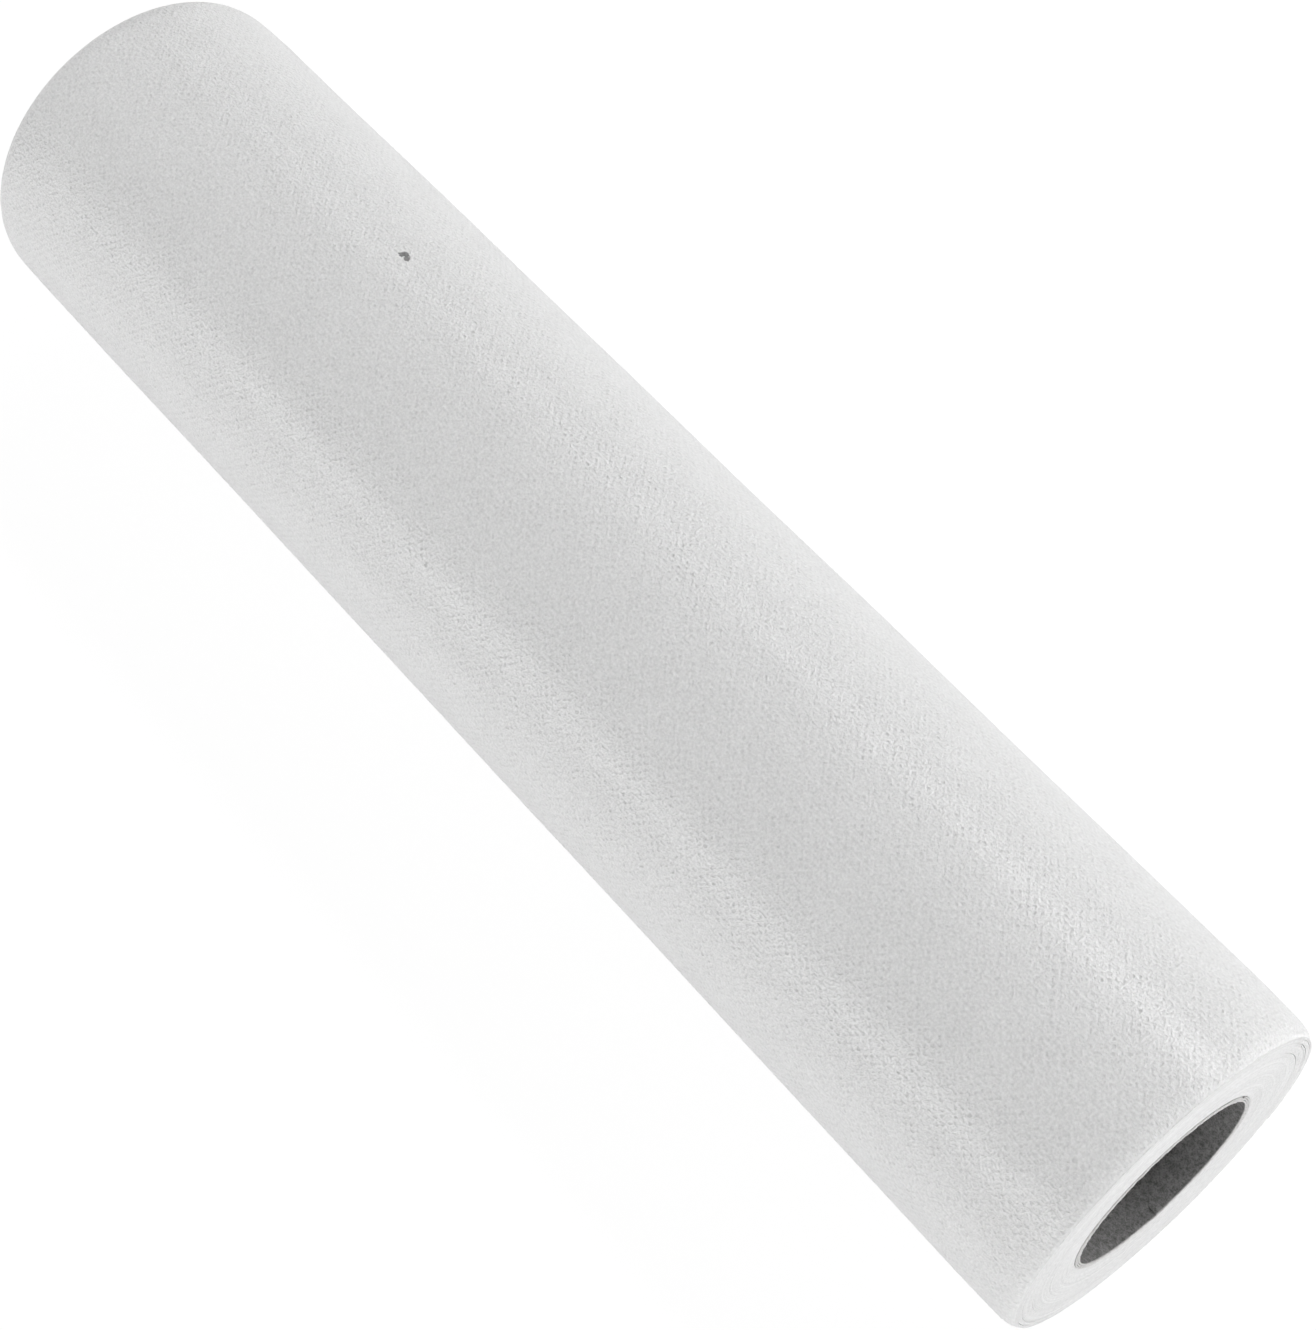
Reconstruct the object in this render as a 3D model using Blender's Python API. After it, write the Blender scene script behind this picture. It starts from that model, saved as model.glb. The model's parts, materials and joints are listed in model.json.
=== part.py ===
"""Table-top backdrop roll: an embossed white web wound on a spiral paperboard core.

The roll lies on its side. +X runs along its axis, +Z is up, and the origin is on the
surface that it lies on, under the middle of the roll. Places round the roll are given
in turns from the top, first towards +Y, so that the lowest place is at half a turn.
The last wrap of the web holds the turns round zero, and inner wraps have lower ones.
"""

import math

import bmesh
import bpy
import numpy as np
from mathutils import Vector

# Web, in metres, turns and counts
ROLL_WIDTH = 0.300  # along the axis, and so the width of the web
ROLL_DIAMETER = 0.0715  # twice the radius of the outermost wrap at its free edge
WEB_THICKNESS = 0.00036
WRAP_GAP = 0.00045  # air between neighbouring outer wraps
WRAP_TURNS = 4  # outer wraps that show as turns; the ones below them are one pack
RESTING_FLAT = 0.0005  # depth to which the roll is pressed flat where it lies

# Free end of the web, which lifts off the roll on its hidden side
TAIL_ROOT_DEG = 40.0  # from the top, where the free end starts to lift
TAIL_LEAVES = 8  # rigid strips that the free end bends between
LEAF_DEG = 10.0  # arc of one strip
LEAF_GAP = 0.0003  # between neighbouring strips

# Core tube, wound from strips of board with their edges butted
CORE_BORE = 0.0381
PLY_NAMES = ("core_inner_ply", "core_middle_ply", "core_outer_ply")
PLY_THICKNESS = 0.0003
GLUE_LINE = 0.0001  # between neighbouring plies
PLY_LEAD = 0.120  # advance of a strip along the tube in one turn
PLY_SEAM = 0.0006  # along the axis, between the butted edges of one strip
PLY_TIP = 0.002  # blunt end of a strip where the tube is cut off square
CORE_RECESS = 0.0004  # the core ends stand back from the edges of the web

# Tape that holds the inner end of the web to the core
TAPE_TURN_DEG = 75.0  # middle of the tape, from the top
TAPE_WIDTH = 0.015  # round the core
TAPE_THICKNESS = 0.0001
TAPE_CLEARANCE = 0.0001  # to the core and to the web
TAPE_SETBACK = 0.006  # from the core's ends

# Faceting
STEPS = 48  # facets in one turn
SAME_PLACE = 1e-6  # turns; stations closer than this are one station
SHARP_EDGE_DEG = 30.0

# Finishes: linear colour and roughness
WHITE_WEB = ((0.80, 0.80, 0.80), 0.80)
GREY_BOARD = ((0.27, 0.26, 0.25), 0.90)
CLEAR_TAPE = ((0.72, 0.70, 0.62), 0.45)

# Worked out from the sizes above
FULL_TURN_DEG = 360.0
HALF_TURN = 0.5
WRAP_PITCH = WEB_THICKNESS + WRAP_GAP
TAIL_ROOT = TAIL_ROOT_DEG / FULL_TURN_DEG
LEAF_TURN = LEAF_DEG / FULL_TURN_DEG
TAIL_END = TAIL_ROOT + TAIL_LEAVES * LEAF_TURN
WRAP_START = TAIL_ROOT - WRAP_TURNS
LOWEST_TURN = math.floor(TAIL_END - HALF_TURN) + HALF_TURN
CORE_LENGTH = ROLL_WIDTH - 2 * CORE_RECESS
PLY_PITCH = PLY_THICKNESS + GLUE_LINE
CORE_RADIUS = CORE_BORE / 2 + len(PLY_NAMES) * PLY_PITCH - GLUE_LINE
PACK_BORE_RADIUS = CORE_RADIUS + TAPE_THICKNESS + 2 * TAPE_CLEARANCE


def outer_radius(turn):
    """Radius of the web's outer face, which grows evenly to the free edge."""
    return ROLL_DIAMETER / 2 - WRAP_PITCH * (TAIL_END - turn)


AXIS_HEIGHT = outer_radius(LOWEST_TURN) - RESTING_FLAT


def ring_point(radius, turn):
    """Point at a radius from the roll's axis."""
    angle = 2 * math.pi * turn
    return Vector((0.0, radius * math.sin(angle), radius * math.cos(angle)))


def circle(radius):
    """A round face of the core or the tape, as a function of the turn."""
    return lambda turn: ring_point(radius, turn)


def web_face(depth):
    """The web's spiral, depth below its outer face, pressed flat where the roll lies."""

    def point(turn):
        own_lowest = math.floor(turn) + HALF_TURN
        rest = outer_radius(own_lowest) - RESTING_FLAT - depth
        radius = outer_radius(turn) - depth
        share_down = -math.cos(2 * math.pi * turn)
        if radius * share_down > rest:
            radius = rest / share_down
        return ring_point(radius, turn)

    return point


def faceted(face, turn):
    """Point on the flat facet that stands for a curved face at this turn."""
    first = math.floor(turn * STEPS + SAME_PLACE)
    share = turn * STEPS - first
    return face(first / STEPS).lerp(face((first + 1) / STEPS), max(share, 0.0))


def stations(start, end, kinks=()):
    """Turns from start to end: both ends, the facets' edges and the kinks between."""
    first = math.floor(start * STEPS) + 1
    last = math.ceil(end * STEPS) - 1
    places = [start, end, *kinks, *(step / STEPS for step in range(first, last + 1))]
    kept = []
    for place in sorted(p for p in places if start <= p <= end):
        if not kept or place - kept[-1] > SAME_PLACE:
            kept.append(place)
    return kept


def finish_material(name, finish):
    """A plain material of one colour and roughness."""
    colour, roughness = finish
    material = bpy.data.materials.new(name)
    material.use_nodes = True
    shader = material.node_tree.nodes["Principled BSDF"]
    shader.inputs["Base Color"].default_value = (*colour, 1.0)
    shader.inputs["Roughness"].default_value = roughness
    shader.inputs["Metallic"].default_value = 0.0
    return material


def add_piece(name, shape, finish, parent, place=None):
    """Turns a closed bmesh into a named piece whose origin is at place."""
    place = place or Vector()
    bmesh.ops.recalc_face_normals(shape, faces=shape.faces)
    bmesh.ops.translate(shape, vec=-place, verts=shape.verts)
    mesh = bpy.data.meshes.new(name)
    shape.to_mesh(mesh)
    shape.free()
    mesh.shade_smooth()
    mesh.set_sharp_from_angle(angle=math.radians(SHARP_EDGE_DEG))
    mesh.materials.append(finish_material(name, finish))
    piece = bpy.data.objects.new(name, mesh)
    bpy.context.collection.objects.link(piece)
    piece.parent = parent
    return piece


def ribbon(turns, outer, inner, reach):
    """A strip bent round the axis, from its two faces and its reach along the axis."""
    shape = bmesh.new()
    rings = []
    for turn in turns:
        low, high = reach(turn)
        over = faceted(outer, turn)
        under = faceted(inner, turn)
        corners = ((low, over), (high, over), (high, under), (low, under))
        rings.append([shape.verts.new((x, p.y, p.z)) for x, p in corners])
    for here, there in zip(rings, rings[1:]):
        for corner in range(len(here)):
            after = (corner + 1) % len(here)
            shape.faces.new((here[corner], here[after], there[after], there[corner]))
    shape.faces.new(rings[0])
    shape.faces.new(rings[-1])
    return shape


def full_width(turn):
    """Reach of the web along the axis, the same at every turn."""
    return -ROLL_WIDTH / 2, ROLL_WIDTH / 2


def gap_turn(turn):
    """The gap between two stretches of web, as turns at its radius."""
    return LEAF_GAP / (2 * math.pi * outer_radius(turn))


def core_ply(name, layer, parent):
    """One board strip wound as a helix; each layer's seam is turned from the last."""
    inner_radius = CORE_BORE / 2 + layer * PLY_PITCH
    phase = layer / len(PLY_NAMES)
    half_seam = PLY_SEAM / 2

    def reach(turn):
        wound = turn - phase
        low = max(0.0, PLY_LEAD * (wound - 1) + half_seam)
        high = min(CORE_LENGTH, PLY_LEAD * wound - half_seam)
        return low - CORE_LENGTH / 2, high - CORE_LENGTH / 2

    start = phase + (PLY_TIP + half_seam) / PLY_LEAD
    end = phase + 1 + (CORE_LENGTH - PLY_TIP - half_seam) / PLY_LEAD
    leaves_end = phase + 1 - half_seam / PLY_LEAD
    meets_end = phase + (CORE_LENGTH + half_seam) / PLY_LEAD
    turns = stations(start, end, (leaves_end, meets_end))
    outer = circle(inner_radius + PLY_THICKNESS)
    shape = ribbon(turns, outer, circle(inner_radius), reach)
    return add_piece(name, shape, GREY_BOARD, parent)


def starter_tape(parent):
    """The strip between the core and the first wrap of the web."""
    inner_radius = CORE_RADIUS + TAPE_CLEARANCE
    half_turn_wide = TAPE_WIDTH / (2 * math.pi * inner_radius) / 2
    middle = TAPE_TURN_DEG / FULL_TURN_DEG
    half_length = CORE_LENGTH / 2 - TAPE_SETBACK
    turns = stations(middle - half_turn_wide, middle + half_turn_wide)
    outer = circle(inner_radius + TAPE_THICKNESS)
    shape = ribbon(turns, outer, circle(inner_radius), lambda turn: (-half_length, half_length))
    return add_piece("starter_tape", shape, CLEAR_TAPE, parent)


def wound_pack(parent):
    """The inner turns as one body, with a step where the first outer wrap leaves it."""
    shape = bmesh.new()
    turns = stations(WRAP_START, WRAP_START + 1)
    outer_face = web_face(WRAP_PITCH)
    ends = []
    for x in full_width(WRAP_START):
        outer = [faceted(outer_face, turn) for turn in turns]
        inner = [faceted(circle(PACK_BORE_RADIUS), turn) for turn in turns[:-1]]
        outer_verts = [shape.verts.new((x, p.y, p.z)) for p in outer]
        inner_verts = [shape.verts.new((x, p.y, p.z)) for p in inner]
        inner_verts.append(inner_verts[0])
        ends.append((outer_verts, inner_verts))
        for step in range(len(turns) - 1):
            corners = [inner_verts[step], inner_verts[step + 1], outer_verts[step + 1], outer_verts[step]]
            if step == len(turns) - 2:
                corners.insert(2, outer_verts[0])
            shape.faces.new(corners)
    (near_outer, near_inner), (far_outer, far_inner) = ends
    for near, far in ((near_outer, far_outer), (near_inner, far_inner)):
        for step in range(len(turns) - 1):
            shape.faces.new((near[step], near[step + 1], far[step + 1], far[step]))
    shape.faces.new((near_outer[0], near_outer[-1], far_outer[-1], far_outer[0]))
    return add_piece("wound_pack", shape, WHITE_WEB, parent)


def web_stretch(start, end):
    """A stretch of the web's spiral between two turns."""
    return ribbon(stations(start, end), web_face(0.0), web_face(WEB_THICKNESS), full_width)


def outer_wraps(parent):
    """The outer turns of the web as one unbroken spiral, up to the free end's root."""
    start = WRAP_START + gap_turn(WRAP_START)
    end = TAIL_ROOT - gap_turn(TAIL_ROOT) / 2
    return add_piece("outer_wraps", web_stretch(start, end), WHITE_WEB, parent)


def tail_leaves(parent):
    """The free end, as strips that each turn on the outer face at their own root."""
    last_hinge = Vector()
    for leaf in range(TAIL_LEAVES):
        root = TAIL_ROOT + leaf * LEAF_TURN
        hinge = faceted(web_face(0.0), root)
        start = root + gap_turn(root) / 2
        end = root + LEAF_TURN - gap_turn(root) / 2
        shape = web_stretch(start, end)
        piece = add_piece(f"web_tail_{leaf + 1}", shape, WHITE_WEB, parent, hinge)
        piece.location = hinge - last_hinge
        parent, last_hinge = piece, hinge


def least_wrap_gap():
    """Least distance between the web's faces on neighbouring turns, at the facets' edges."""
    turns = np.array(stations(WRAP_START, TAIL_END))
    over = np.array([faceted(web_face(0.0), turn) for turn in turns])
    under = np.array([faceted(web_face(WEB_THICKNESS), turn) for turn in turns])
    apart = np.linalg.norm(over[:, None] - under[None, :], axis=2)
    next_wrap = turns[None, :] - turns[:, None] > HALF_TURN
    return float(apart[next_wrap].min())


def build():
    """Clears the scene and makes every piece of the roll."""
    for thing in list(bpy.data.objects):
        bpy.data.objects.remove(thing)
    axis = bpy.data.objects.new("roll_axis", None)
    axis.location = (0.0, 0.0, AXIS_HEIGHT)
    bpy.context.collection.objects.link(axis)
    for layer, name in enumerate(PLY_NAMES):
        core_ply(name, layer, axis)
    starter_tape(axis)
    wound_pack(axis)
    outer_wraps(axis)
    tail_leaves(axis)
    print(f"least gap between wraps: {least_wrap_gap() * 1000:.3f} mm")
    print(f"axis height: {AXIS_HEIGHT * 1000:.3f} mm")


build()
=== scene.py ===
"""Looks of the table-top backdrop roll: embossed white web wound on a spiral board core.

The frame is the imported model's: metres, +X along the roll, +Z up, the floor at zero.
Places round the roll are turns from the top, first towards +Y. The last wrap of the web
holds the turns round zero, and each wrap below it has turns that are lower by one.
"""

import json
import math

import bpy
import numpy as np
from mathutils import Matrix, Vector


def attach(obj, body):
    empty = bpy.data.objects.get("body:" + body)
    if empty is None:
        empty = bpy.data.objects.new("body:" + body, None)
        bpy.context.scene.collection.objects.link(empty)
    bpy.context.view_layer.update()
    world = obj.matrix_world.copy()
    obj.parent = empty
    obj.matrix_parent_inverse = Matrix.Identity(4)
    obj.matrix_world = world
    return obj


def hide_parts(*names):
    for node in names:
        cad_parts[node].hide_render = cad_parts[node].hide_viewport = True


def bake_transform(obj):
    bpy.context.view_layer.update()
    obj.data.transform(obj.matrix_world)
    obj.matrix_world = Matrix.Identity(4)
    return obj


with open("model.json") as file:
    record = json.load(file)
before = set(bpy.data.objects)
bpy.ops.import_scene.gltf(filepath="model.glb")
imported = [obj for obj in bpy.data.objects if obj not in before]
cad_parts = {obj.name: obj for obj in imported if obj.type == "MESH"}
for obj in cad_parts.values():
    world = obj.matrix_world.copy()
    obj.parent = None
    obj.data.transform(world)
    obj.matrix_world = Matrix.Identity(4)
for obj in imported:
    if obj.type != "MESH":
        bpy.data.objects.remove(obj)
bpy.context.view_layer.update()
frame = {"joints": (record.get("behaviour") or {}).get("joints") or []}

# Web: sizes in metres, places in turns
WEB_WIDTH = 0.300
ROLL_RADIUS = 0.03575  # outer face of the web at its free edge
LAST_WRAP_PITCH = 0.00081  # fall of the outer face over the last turn
WEB_THICKNESS = 0.00033
TIGHT_GAP = 0.00001  # air between tightly wound turns
PACK_BORE_RADIUS = 0.02029
AXIS_HEIGHT = 0.034575
RESTING_FLAT = 0.0005  # depth to which the roll is pressed flat where it lies
TAIL_ROOT = 40.0 / 360.0  # where the free end starts to lift
LEAF_TURN = 10.0 / 360.0  # between the hinges of the free end
TAIL_LEAVES = 8
TAIL_END = TAIL_ROOT + TAIL_LEAVES * LEAF_TURN
LEAF_OVERLAP = LEAF_TURN / 2  # a piece of the free end reaches this far round its hinge
EDGE_BEVEL = 0.00003
EDGE_POINTS = (0.00003, 0.00012, 0.00021, 0.00030)  # depths of points on a cut edge

# Wraps that stand off the one below: turn of the middle, reach in turns, air in metres
LOOSE_PLACES = (
    (-1.80, 0.15, 0.00010),
    (-4.81, 0.20, 0.00012),
    (-5.79, 0.16, 0.00007),
    (-11.81, 0.20, 0.00010),
    (-2.31, 0.15, 0.00008),
    (-5.33, 0.17, 0.00009),
    (-13.25, 0.20, 0.00006),
)

# Ends of the roll: the outer wraps are pressed in to a round rim, and the inner ones stand back
RIM_REACH = 0.0038  # of the rounding, along the axis
RIM_DEPTH = 0.00145  # of the rounding, towards the axis
RIM_LIP = 0.0004  # the outermost wrap ends this far short, and cut edges round off the rest
PRESSED_DEPTH = 0.0045  # of wraps that the rounding presses together
DISH_DEPTH = 0.0004  # by which the innermost wrap stands back
DISH_RADIUS = 0.0240  # where that has faded out
EDGE_WANDER = 0.00002  # of the slit edges, from wrap to wrap
WAVE_SHARE = 0.25  # of the air below it, by which the outermost wrap swells
SETTLE_SHARE = 0.92  # of the air below it, by which it settles at its ends
SETTLE_REACH = 0.012  # along the axis
SWELL_SHORT = 0.083  # lengths of the two swells, along the axis
SWELL_LONG = 0.31
SWELL_FADE = (0.004, 0.03)  # distances from the ends where the swell starts and is whole

# Points across the web, as distances from its edges, on the outside and on the wraps below
COLUMNS_AT_RIM = (0.0, 0.0002, 0.0005, 0.0009, 0.0014, 0.0020, 0.0028, 0.0038, 0.0049, 0.0062)
COLUMN_SPACING = 0.006
COLUMNS_BELOW = (0.0, 0.0006, 0.0020, 0.0056)

# Points round the roll, for each turn
WOUND_STATIONS = 96
LAST_TURN_STATIONS = 180
LEAF_STATIONS = 360
CORE_STATIONS = 240
TAPE_STATIONS = 120
SHARP_ANGLE = 35.0  # edges sharper than this stay sharp

# Core of three wound strips
CORE_BORE_RADIUS = 0.01905
PLY_THICKNESS = 0.0003
PLY_PITCH = 0.0004
PLY_LEAD = 0.120
PLY_SEAM = 0.00004
PLY_TIP = 0.002
CORE_LENGTH = 0.2995
PLIES = ("inner", "middle", "outer")
CUT_RAGGED = 0.00014  # of the sawn ends
CUT_PALE_REACH = (0.0004, 0.0001)  # from the ends, where the paler cut fades in
PLY_BEVEL = 0.00004
PLY_DRAW = 11  # first seed of the ragged cut

# Tape under the first wrap
TAPE_MIDDLE = 75.0 / 360.0
TAPE_WIDTH = 0.015
TAPE_RADIUS = 0.02017
TAPE_THICKNESS = 0.0001
TAPE_LENGTH = 0.2872

# Emboss of the web: pressed points on a lattice of lozenges
EMBOSS_ALONG = 0.001715  # one lozenge along the axis
EMBOSS_AROUND = 0.001885  # one lozenge round the roll
POINT_JITTER = 0.5  # share of a lozenge by which a pressed point strays
RELIEF_DEPTH = 0.0003

# Flecks in the web: places along the axis and from the free edge, radius and darkness
FLECKS = (
    (-0.06632, -0.06633, 0.00075, 0.9),
    (-0.06592, -0.06573, 0.00075, 0.9),
    (-0.06496, -0.06628, 0.00080, 0.9),
    (-0.01440, -0.10542, 0.00050, 0.35),
)

# Camera of the photograph
CAMERA_PLACE = (0.22694, -0.17461, 0.47960)
CAMERA_AZIMUTH = 50.057
CAMERA_ELEVATION = 58.497
CAMERA_LENS = 76.129
CAMERA_SENSOR = 36.0

# Floor: its own grey, and the share and strength of the white that the camera sees
FLOOR_REACH = 6.0
FLOOR_GREY = 0.85
FLOOR_WHITE = 0.9
FLOOR_GLOW = 1.06

# Light: world radiance overhead and at the horizon, and lamps as place, aim, size and watts
SKY_OVERHEAD = 0.0
SKY_HORIZON = 0.1
LAMPS = (
    ("side_softbox", (-0.3, 0.64, 0.80), (-0.3, 0.0, 0.03), (1.4, 0.25), 5.1),
    ("near_softbox", (0.15, 0.64, 0.80), (0.15, 0.0, 0.03), (0.5, 0.25), 3.5),
    ("low_fill", (-0.2, -1.0, 0.19), (-0.2, 0.0, 0.03), (1.4, 0.3), 8.1),
    ("end_fill", (1.0, 0.0, 0.30), (0.15, 0.0, 0.03), (0.7, 0.35), 4.5),
    ("side_end_fill", (0.75, 0.66, 0.35), (0.15, 0.0, 0.03), (0.7, 0.35), 1.5),
    ("far_fill", (-0.9, 0.0, 0.80), (0.0, 0.0, 0.03), (0.7, 0.35), 1.6),
)


def make_camera():
    """The camera at the photograph's place."""
    data = bpy.data.cameras.new("photo_camera")
    data.lens = CAMERA_LENS
    data.sensor_width = CAMERA_SENSOR
    data.clip_start = 0.01
    data.clip_end = 50.0
    camera = bpy.data.objects.new("photo_camera", data)
    camera.location = CAMERA_PLACE
    tilt = math.radians(90.0 - CAMERA_ELEVATION)
    camera.rotation_euler = (tilt, 0.0, math.radians(CAMERA_AZIMUTH))
    bpy.context.collection.objects.link(camera)
    bpy.context.scene.camera = camera


def rise(value, low, high):
    """0 below low, 1 above high, and a smooth rise between."""
    share = np.clip((np.asarray(value, float) - low) / (high - low), 0.0, 1.0)
    return share * share * (3.0 - 2.0 * share)


def air_below(turn):
    """Air between a wrap at this turn and the wrap below it."""
    loose_end = LAST_WRAP_PITCH - WEB_THICKNESS - TIGHT_GAP
    air = TIGHT_GAP + loose_end * np.clip(turn - TAIL_END + 1.0, 0.0, 1.0)
    for middle, reach, extra in LOOSE_PLACES:
        air = air + extra * (1.0 - rise(np.abs(turn - middle), 0.0, reach))
    return air


def outer_radius(turn):
    """Radius of the web's outer face, worked out from the last wrap inwards."""
    turn = np.asarray(turn, float)
    wraps_above = np.maximum(np.ceil(TAIL_END - 1.0 - turn - 1e-9), 0.0)
    below = np.zeros_like(turn)
    for wrap in range(1, int(wraps_above.max()) + 1):
        above = wraps_above >= wrap
        below = below + above * (WEB_THICKNESS + air_below(turn + wrap))
    top = turn + wraps_above
    return ROLL_RADIUS - LAST_WRAP_PITCH * (TAIL_END - top) - below


def depth_in_roll(turn):
    """How far a wrap's outer face lies below the roll's, at the same place round it."""
    turn = np.asarray(turn, float)
    above = np.maximum(np.floor(TAIL_END - turn + 1e-9), 0.0)
    return outer_radius(turn + above) - outer_radius(turn)


def first_turn():
    """Where the web starts, so that its first wrap just clears the tape."""
    turns = np.arange(-60.0, 0.0, 1.0 / 96.0)
    return float(turns[outer_radius(turns) - WEB_THICKNESS > PACK_BORE_RADIUS][0])


def pressed(radius, turn, depth):
    """The radius of a face that is depth below the web's outer face, pressed flat below."""
    lowest_radius = outer_radius(np.floor(turn) + 0.5)
    share = rise(lowest_radius, PACK_BORE_RADIUS, ROLL_RADIUS - LAST_WRAP_PITCH)
    rest = lowest_radius - RESTING_FLAT * share - depth
    down = -np.cos(2.0 * np.pi * turn)
    over = radius * down - rest
    return np.where((down > 0.5) & (over > 0.0), rest / np.maximum(down, 0.5), radius)


def arc_length(turns):
    """Length of web from the free edge to each turn, negative further in."""
    fine = np.linspace(turns[0], TAIL_END, 20000)
    radius = outer_radius(fine)
    step = np.diff(fine) * 2.0 * np.pi * (radius[1:] + radius[:-1]) / 2.0
    run = np.concatenate(([0.0], np.cumsum(step)))
    return np.interp(turns, fine, run) - run[-1]


def loft(name, rings, lengths, finishes, edge_faces):
    """A closed strip through rings of points; edge_faces are the ring's cut edges.

    rings is stations by points by xyz. The map holds metres along the axis and lengths.
    """
    stations, count = rings.shape[:2]
    points = rings.reshape(-1, 3)
    here = np.arange(count)
    after = (here + 1) % count
    base = (np.arange(stations - 1) * count)[:, None]
    quads = np.stack((base + here, base + after, base + count + after, base + count + here), 2)
    faces = quads.reshape(-1, 4).tolist()
    faces.append(list(range(count))[::-1])
    faces.append(list(range((stations - 1) * count, stations * count)))
    mesh = bpy.data.meshes.new(name)
    mesh.from_pydata(points.tolist(), [], faces)
    corner = np.empty(len(mesh.loops), np.int32)
    mesh.loops.foreach_get("vertex_index", corner)
    layout = np.stack((points[corner, 0], np.asarray(lengths)[corner // count]), 1)
    web_map = mesh.uv_layers.new(name="web_metres")
    web_map.uv.foreach_set("vector", layout.astype(np.float32).ravel())
    is_edge = np.zeros(len(faces), np.int32)
    ring_edge = np.isin(here, edge_faces).astype(np.int32)
    is_edge[: (stations - 1) * count] = np.tile(ring_edge, stations - 1)
    is_edge[-2:] = 1
    mesh.polygons.foreach_set("material_index", is_edge)
    for finish in finishes:
        mesh.materials.append(finish)
    mesh.shade_smooth()
    mesh.set_sharp_from_angle(angle=math.radians(SHARP_ANGLE))
    mesh.validate()
    mesh.update()
    piece = bpy.data.objects.new(name, mesh)
    bpy.context.collection.objects.link(piece)
    return piece


def round_the_axis(along, radius, turn):
    """Points at places along the axis, at radii and turns."""
    angle = 2.0 * np.pi * np.asarray(turn)
    y = radius * np.sin(angle)
    z = radius * np.cos(angle) + AXIS_HEIGHT
    return np.stack(np.broadcast_arrays(along, y, z), -1)


def rim_fall(from_end):
    """Fall of the round rim towards the axis, at a distance from the roll's end."""
    share = np.clip(1.0 - from_end / RIM_REACH, 0.0, 1.0)
    return RIM_DEPTH * (1.0 - np.sqrt(1.0 - share * share))


def rim_setback(depth):
    """Distance of the round rim from the roll's end, at a depth below its outer face."""
    share = np.clip(1.0 - depth / RIM_DEPTH, 0.0, 1.0)
    return RIM_REACH * (1.0 - np.sqrt(1.0 - share * share))


def sunk(depth, from_end):
    """Depth below the roll's outer face of what lies at depth away from the ends."""
    fall = rim_fall(np.maximum(from_end, RIM_LIP))
    return depth + fall * np.clip(1.0 - depth / PRESSED_DEPTH, 0.0, 1.0)


def edge_setback(turn, below):
    """How far the web's cut edge stands back from the roll's end, below its outer face."""
    depth = depth_in_roll(turn) + below
    radius = outer_radius(turn) - below
    dish = DISH_DEPTH * (1.0 - rise(radius, PACK_BORE_RADIUS, DISH_RADIUS))
    wander = np.sin(1.7 * turn) + np.sin(2.0 * np.pi * turn * 2.31 + 0.6) + np.sin(5.9 * turn + 2.0)
    return rim_setback(sunk(depth, 0.0)) + dish + EDGE_WANDER * (1.0 + wander / 3.0)


def across(setback, near_ends, spacing):
    """Places across the web, from one cut edge to the other: stations by columns."""
    inner = WEB_WIDTH / 2.0 - near_ends[-1]
    count = int(2.0 * inner / spacing)
    middle = np.linspace(-inner, inner, count + 2)[1:-1] if count > 1 else np.empty(0)
    left = -WEB_WIDTH / 2.0 + np.asarray(near_ends)
    fade = 1.0 - rise(np.asarray(near_ends), 0.0, near_ends[-1])
    shift = setback[:, None] * fade
    centre = np.broadcast_to(middle, (len(setback), len(middle)))
    return np.concatenate((left + shift, centre, (-left - shift)[:, ::-1]), 1)


def web_strip(name, turns, near_ends, spacing, finishes):
    """A stretch of web between two turns, closed, with rounded and pressed ends."""
    turns = np.asarray(turns)
    turn = turns[:, None]
    depth = depth_in_roll(turns)[:, None]
    top = outer_radius(turns)[:, None] + depth
    air = air_below(turns)[:, None] * (turn > TAIL_END - 1.0)

    def surface(along, below):
        """Points of the web at places across it, below its outer face."""
        from_end = WEB_WIDTH / 2.0 - np.abs(along)
        short = np.sin(2.0 * np.pi * (along / SWELL_SHORT + 1.3 * turn))
        long = np.sin(2.0 * np.pi * (along / SWELL_LONG - 2.0 * turn))
        wave = short * long
        swell = WAVE_SHARE * air * wave * rise(from_end, *SWELL_FADE)
        settle = SETTLE_SHARE * air * (1.0 - rise(from_end, 0.0, SETTLE_REACH))
        radius = top - sunk(depth + below, from_end) + swell - settle
        spread = np.broadcast_to(turn, radius.shape)
        return round_the_axis(along, pressed(radius, spread, below), spread)

    def faces_end(side):
        """The cut edge on one side, from the outer face down."""
        ends = []
        for below in EDGE_POINTS:
            reach = WEB_WIDTH / 2.0 - edge_setback(turns, below)
            ends.append(surface(side * reach[:, None], below))
        return ends

    over = surface(across(edge_setback(turns, 0.0) + EDGE_BEVEL, near_ends, spacing), 0.0)
    under_setback = edge_setback(turns, WEB_THICKNESS) + EDGE_BEVEL
    under = surface(across(under_setback, near_ends, spacing), WEB_THICKNESS)
    right = faces_end(1.0)
    left = faces_end(-1.0)
    rings = np.concatenate((over, *right, under[:, ::-1], *reversed(left)), 1)
    columns = over.shape[1]
    points = len(EDGE_POINTS)
    first_edge = range(columns - 1, columns + points)
    other_edge = range(2 * columns + points - 1, 2 * columns + 2 * points)
    return loft(name, rings, arc_length(turns), finishes, [*first_edge, *other_edge])


def stations(start, end, per_turn):
    """Evenly spaced turns from start to end."""
    return np.linspace(start, end, max(2, math.ceil((end - start) * per_turn) + 1))


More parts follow.
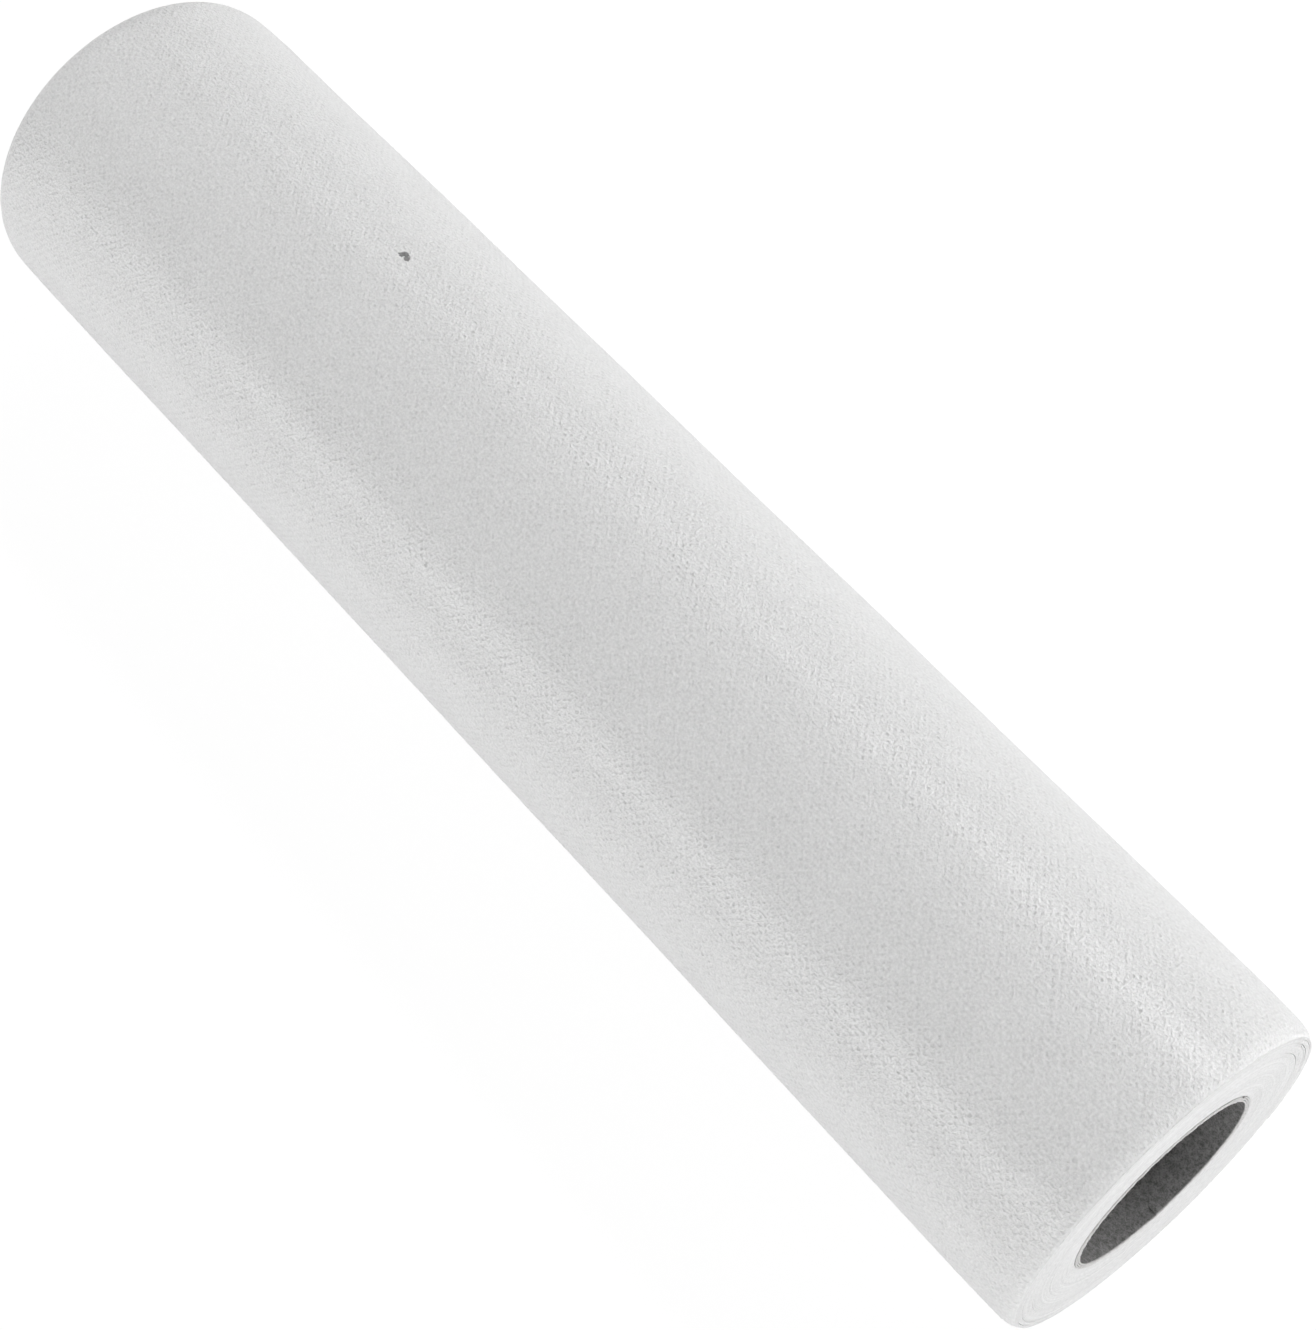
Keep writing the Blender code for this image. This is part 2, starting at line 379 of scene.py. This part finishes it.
class Socket:
    """An output of a finish's nodes, on which sums can be written."""

    def __init__(self, finish, source):
        self.finish = finish
        self.source = source

    def sums(self, operation, *values):
        return self.finish.node("ShaderNodeMath", {"operation": operation}, dict(enumerate(values)))

    def __add__(self, other):
        return self.sums("ADD", self, other)

    def __radd__(self, other):
        return self.sums("ADD", other, self)

    def __sub__(self, other):
        return self.sums("SUBTRACT", self, other)

    def __rsub__(self, other):
        return self.sums("SUBTRACT", other, self)

    def __mul__(self, other):
        return self.sums("MULTIPLY", self, other)

    def __rmul__(self, other):
        return self.sums("MULTIPLY", other, self)

    def __truediv__(self, other):
        return self.sums("DIVIDE", self, other)

    def __rtruediv__(self, other):
        return self.sums("DIVIDE", other, self)

    def fraction(self):
        return self.sums("FRACT", self)

    def size(self):
        return self.sums("ABSOLUTE", self)


class Finish:
    """A node tree that is built from Python."""

    def __init__(self, tree):
        self.tree = tree
        tree.nodes.clear()

    def node(self, kind, settings=None, sockets=None, output=0):
        """Adds a node of this kind, with its settings and the values or links of its sockets."""
        made = self.tree.nodes.new(kind)
        for setting, value in (settings or {}).items():
            setattr(made, setting, value)
        for place, value in (sockets or {}).items():
            if isinstance(value, Socket):
                self.tree.links.new(value.source, made.inputs[place])
            else:
                made.inputs[place].default_value = value
        return Socket(self, made.outputs[output] if len(made.outputs) else None)

    def noise(self, where, scale, detail=2.0, roughness=0.5, lacunarity=2.0):
        sockets = {"Vector": where, "Scale": scale, "Detail": detail, "Roughness": roughness}
        sockets["Lacunarity"] = lacunarity
        return self.node("ShaderNodeTexNoise", {"noise_dimensions": "3D"}, sockets)

    def ramp(self, value, low, high, first=0.0, last=1.0):
        settings = {"interpolation_type": "SMOOTHSTEP"}
        sockets = {0: value, 1: low, 2: high, 3: first, 4: last}
        return self.node("ShaderNodeMapRange", settings, sockets)

    def mix_colour(self, share, first, second):
        settings = {"data_type": "RGBA"}
        return self.node("ShaderNodeMix", settings, {0: share, 6: first, 7: second}, 2)

    def parts(self, vector):
        """The three numbers of a vector."""
        first = self.node("ShaderNodeSeparateXYZ", None, {0: vector})
        outs = first.source.node.outputs
        return [Socket(self, outs[i]) for i in range(3)]

    def vector(self, x, y, z):
        return self.node("ShaderNodeCombineXYZ", None, {0: x, 1: y, 2: z})

    def surface(self, sockets):
        """The shader of a solid surface, joined to the output."""
        shader = self.node("ShaderNodeBsdfPrincipled", None, sockets)
        self.node("ShaderNodeOutputMaterial", None, {0: shader})


def grey(value, warm=0.0):
    """A neutral colour, or a slightly warm one."""
    return (value * (1.0 + warm), value, value * (1.0 - warm), 1.0)


def new_finish(name):
    material = bpy.data.materials.new(name)
    material.use_nodes = True
    return material, Finish(material.node_tree)


def embossed_web():
    """White bonded web: rows of pressed points between loose fibres, glazed thinly and unevenly."""
    material, f = new_finish("embossed_white_web")
    place = f.node("ShaderNodeUVMap", {"uv_map": "web_metres"})
    along, around, _ = f.parts(place)
    flat = f.vector(along, around, 0.0)
    aside = f.vector(along, around, 0.31)
    stray_one = (f.noise(flat, 700.0) - 0.5) * POINT_JITTER
    stray_other = (f.noise(aside, 700.0) - 0.5) * POINT_JITTER
    one_way = along / EMBOSS_ALONG + around / EMBOSS_AROUND + stray_one
    other_way = along / EMBOSS_ALONG - around / EMBOSS_AROUND + stray_other
    off_one = (one_way + 0.5).fraction() - 0.5
    off_other = (other_way + 0.5).fraction() - 0.5
    away = off_one * off_one + off_other * off_other
    uneven = f.ramp(f.noise(aside, 430.0, 1.0), 0.32, 0.68, 0.1, 1.0)
    point = f.ramp(away, 0.005, 0.13, 1.0, 0.0) * uneven
    fibres = f.noise(f.vector(along * 0.85, around * 1.15, 0.0), 1000.0, 3.0, 0.6)
    grain = f.noise(aside, 2100.0, 2.0, 0.6)
    cloud = f.noise(flat, 110.0, 3.0, 0.55)
    mottle = (cloud - 0.5) * 0.2 + (fibres - 0.5) * 0.8 + (grain - 0.5) * 1.5
    tone = 0.64 + mottle - point * 0.18
    white = f.mix_colour(tone, grey(0.60), grey(0.86))
    ragged = (grain - 0.5) * 2.0 + (fibres - 0.5) * 1.6
    for fleck_along, fleck_around, radius, darkness in FLECKS:
        off_x = (along - fleck_along) / radius
        off_y = (around - fleck_around) / radius
        fleck = f.ramp(off_x * off_x + off_y * off_y + ragged, 0.5, 1.0, darkness, 0.0)
        white = f.mix_colour(fleck, white, grey(0.10))
    height = fibres * 0.7 + grain * 1.0 - point * 0.3
    relief = {"Strength": 1.0, "Distance": RELIEF_DEPTH, "Height": height}
    bump = f.node("ShaderNodeBump", None, relief)
    glaze = 0.5 + (grain - 0.5) * 1.6 - point * 0.35
    f.surface({
        "Base Color": white,
        "Roughness": 0.42 + fibres * 0.12,
        "Normal": bump,
        "Specular IOR Level": 0.3,
        "Coat Weight": f.ramp(glaze, 0.0, 1.0, 0.0, 0.8),
        "Coat Roughness": 0.30,
        "Sheen Weight": 0.45,
        "Sheen Roughness": 0.35,
    })
    return material


def cut_edge():
    """The slit edges of the web, which differ a little from wrap to wrap."""
    material, f = new_finish("slit_web_edge")
    place = f.node("ShaderNodeUVMap", {"uv_map": "web_metres"})
    _, around, _ = f.parts(place)
    wraps = f.noise(f.vector(around, 0.0, 0.0), 11.0, 2.0)
    lint = f.noise(f.vector(around, 0.0, 0.0), 900.0, 2.0)
    tone = (wraps - 0.5) * 1.8 + (lint - 0.5) * 1.8 + 0.5
    colour = f.mix_colour(tone, grey(0.66), grey(0.86))
    f.surface({"Base Color": colour, "Roughness": 0.75 + lint * 0.2, "Specular IOR Level": 0.3})
    return material


def core_board():
    """Grey board of the core: mottled fibres, and a paler sawn end."""
    material, f = new_finish("grey_core_board")
    place = f.node("ShaderNodeTexCoord", None, None, "Object")
    along, _, _ = f.parts(place)
    mottle = f.noise(place, 900.0, 4.0, 0.65)
    specks = f.noise(place, 3200.0, 2.0, 0.5)
    tone = (mottle - 0.5) * 2.2 + (specks - 0.5) * 1.8 + 0.5
    wall = f.mix_colour(tone, grey(0.13, 0.01), grey(0.35, 0.01))
    sawn = f.mix_colour(specks, grey(0.54, 0.01), grey(0.78, 0.01))
    starts, whole = (CORE_LENGTH / 2.0 - reach for reach in CUT_PALE_REACH)
    end = f.ramp(along.size(), starts, whole)
    colour = f.mix_colour(end, wall, sawn)
    height = mottle * 0.6 + specks * 0.6
    bump = f.node("ShaderNodeBump", None, {"Strength": 0.7, "Distance": 0.00008, "Height": height})
    f.surface({
        "Base Color": colour,
        "Roughness": 0.82 + mottle * 0.15,
        "Normal": bump,
        "Specular IOR Level": 0.3,
    })
    return material


def clear_tape():
    """Yellowed clear tape with faint draw lines along it."""
    material, f = new_finish("starter_tape_film")
    place = f.node("ShaderNodeTexCoord", None, None, "Object")
    along, across, up = f.parts(place)
    lines = f.noise(f.vector(along * 0.02, across, up), 2600.0, 2.0)
    stain = f.noise(place, 140.0, 3.0)
    colour = f.mix_colour(stain, (0.74, 0.71, 0.62, 1.0), (0.66, 0.62, 0.50, 1.0))
    bump = f.node("ShaderNodeBump", None, {"Strength": 0.4, "Distance": 0.00003, "Height": lines})
    f.surface({"Base Color": colour, "Roughness": 0.32 + lines * 0.2, "Normal": bump})
    return material


def make_web(web, edge):
    """The whole web: its wound turns, its last turn and the free end, cut into one stretch round
    each hinge place.
    """
    start = first_turn()
    last = TAIL_ROOT - 1.0
    turns = stations(start, last, WOUND_STATIONS)
    wound = web_strip("wound_turns", turns, COLUMNS_BELOW, WEB_WIDTH, (web, edge))
    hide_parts("wound_pack")
    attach(wound, "roll")
    turns = stations(last, TAIL_ROOT - LEAF_OVERLAP, LAST_TURN_STATIONS)
    outside = web_strip("last_turn", turns, COLUMNS_AT_RIM, COLUMN_SPACING, (web, edge))
    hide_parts("outer_wraps")
    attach(outside, "roll")
    for leaf, joint in enumerate(frame["joints"]):
        hinge = TAIL_ROOT + leaf * LEAF_TURN
        before = hinge - LEAF_OVERLAP
        after = hinge + LEAF_OVERLAP
        end = TAIL_END if leaf == TAIL_LEAVES - 1 else after
        turns = stations(before, end, LEAF_STATIONS)
        name = f"free_end_{leaf + 1}"
        strip = web_strip(name, turns, COLUMNS_AT_RIM, COLUMN_SPACING, (web, edge))
        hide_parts(f"web_tail_{leaf + 1}")
        places = np.array([before, after])
        points = round_the_axis(0.0, outer_radius(places), places)
        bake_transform(strip)
    length = float(-arc_length(np.array([start, TAIL_END]))[0])
    print(f"turns {TAIL_END - start:.2f}, web {length:.3f} m")


def make_core(board):
    """The three board strips, wound with butted edges and sawn off at both ends."""
    for layer, name in enumerate(PLIES):
        inner = CORE_BORE_RADIUS + layer * PLY_PITCH
        phase = layer / len(PLIES)
        half_seam = PLY_SEAM / 2.0
        start = phase + (PLY_TIP + half_seam) / PLY_LEAD
        end = phase + 1.0 + (CORE_LENGTH - PLY_TIP - half_seam) / PLY_LEAD
        turns = stations(start, end, CORE_STATIONS)
        wound = turns - phase
        low = np.maximum(0.0, PLY_LEAD * (wound - 1.0) + half_seam) - CORE_LENGTH / 2.0
        high = np.minimum(CORE_LENGTH, PLY_LEAD * wound - half_seam) - CORE_LENGTH / 2.0
        sawn = np.stack((low <= -CORE_LENGTH / 2.0, high >= CORE_LENGTH / 2.0))[:, :, None]
        draws = np.random.default_rng(PLY_DRAW + layer).uniform(0.0, 1.0, (2, len(turns), 2))
        rough = draws * CUT_RAGGED * sawn
        ring = []
        outer = inner + PLY_THICKNESS
        bevel = PLY_BEVEL
        for along, radius in (
            (low + bevel + rough[0, :, 0], outer),
            (high - bevel - rough[1, :, 0], outer),
            (high - rough[1, :, 0], outer - bevel),
            (high - rough[1, :, 1], inner + bevel),
            (high - bevel - rough[1, :, 1], inner),
            (low + bevel + rough[0, :, 1], inner),
            (low + rough[0, :, 1], inner + bevel),
            (low + rough[0, :, 0], outer - bevel),
        ):
            ring.append(round_the_axis(along, radius, turns))
        lengths = turns * 2.0 * np.pi * inner
        strip = loft(f"core_{name}_strip", np.stack(ring, 1), lengths, (board, board), [])
        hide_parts(f"core_{name}_ply")
        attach(strip, "roll")


def make_tape(film):
    """The strip of tape between the core and the first wrap."""
    half = TAPE_WIDTH / (2.0 * np.pi * TAPE_RADIUS) / 2.0
    turns = stations(TAPE_MIDDLE - half, TAPE_MIDDLE + half, TAPE_STATIONS)
    outer = TAPE_RADIUS + TAPE_THICKNESS
    side = TAPE_LENGTH / 2.0
    corners = ((-side, outer), (side, outer), (side, TAPE_RADIUS), (-side, TAPE_RADIUS))
    ring = [round_the_axis(along, radius, turns) for along, radius in corners]
    lengths = turns * 2.0 * np.pi * TAPE_RADIUS
    strip = loft("starter_tape_strip", np.stack(ring, 1), lengths, (film, film), [])
    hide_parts("starter_tape")
    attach(strip, "roll")


def make_floor():
    """A pale floor that is white to the camera and keeps the roll's shadow."""
    material, f = new_finish("pale_floor")
    paths = f.node("ShaderNodeLightPath")
    outs = {o.name: Socket(f, o) for o in paths.source.node.outputs}
    seen = outs["Is Camera Ray"] + outs["Is Glossy Ray"] + outs["Is Transmission Ray"]
    paper = f.node("ShaderNodeBsdfDiffuse", None, {"Color": grey(FLOOR_GREY)})
    white = f.node("ShaderNodeEmission", None, {"Color": grey(1.0), "Strength": FLOOR_GLOW})
    both = f.node("ShaderNodeMixShader", None, {0: seen * FLOOR_WHITE, 1: paper, 2: white})
    f.node("ShaderNodeOutputMaterial", None, {0: both})
    mesh = bpy.data.meshes.new("floor")
    signs = ((-1, -1), (1, -1), (1, 1), (-1, 1))
    corners = [(x * FLOOR_REACH, y * FLOOR_REACH, 0) for x, y in signs]
    mesh.from_pydata(corners, [], [(0, 1, 2, 3)])
    mesh.materials.append(material)
    floor = bpy.data.objects.new("floor", mesh)
    bpy.context.collection.objects.link(floor)


def make_light():
    """A pale tent that is white to the camera, with soft lamps."""
    world = bpy.data.worlds.new("tent")
    world.use_nodes = True
    bpy.context.scene.world = world
    f = Finish(world.node_tree)
    paths = f.node("ShaderNodeLightPath")
    outs = {o.name: Socket(f, o) for o in paths.source.node.outputs}
    seen = outs["Is Camera Ray"] + outs["Is Glossy Ray"] + outs["Is Transmission Ray"]
    place = f.node("ShaderNodeTexCoord", None, None, "Generated")
    _, _, up = f.parts(place)
    tone = f.ramp(up, 0.0, 1.0)
    tent = f.mix_colour(tone, grey(SKY_HORIZON), grey(SKY_OVERHEAD))
    colour = f.mix_colour(seen, tent, grey(1.0))
    back = f.node("ShaderNodeBackground", None, {"Color": colour, "Strength": 1.0})
    f.node("ShaderNodeOutputWorld", None, {0: back})
    for name, place, aim, size, watts in LAMPS:
        data = bpy.data.lights.new(name, "AREA")
        data.shape = "RECTANGLE"
        data.size, data.size_y = size
        data.energy = watts
        lamp = bpy.data.objects.new(name, data)
        lamp.location = place
        lamp.rotation_euler = (Vector(place) - Vector(aim)).to_track_quat("Z", "Y").to_euler()
        lamp.visible_camera = False
        bpy.context.collection.objects.link(lamp)


make_camera()
white_web = embossed_web()
slit_edge = cut_edge()
make_core(core_board())
make_tape(clear_tape())
make_web(white_web, slit_edge)
make_floor()
make_light()

bpy.context.scene.view_settings.view_transform = "Standard"
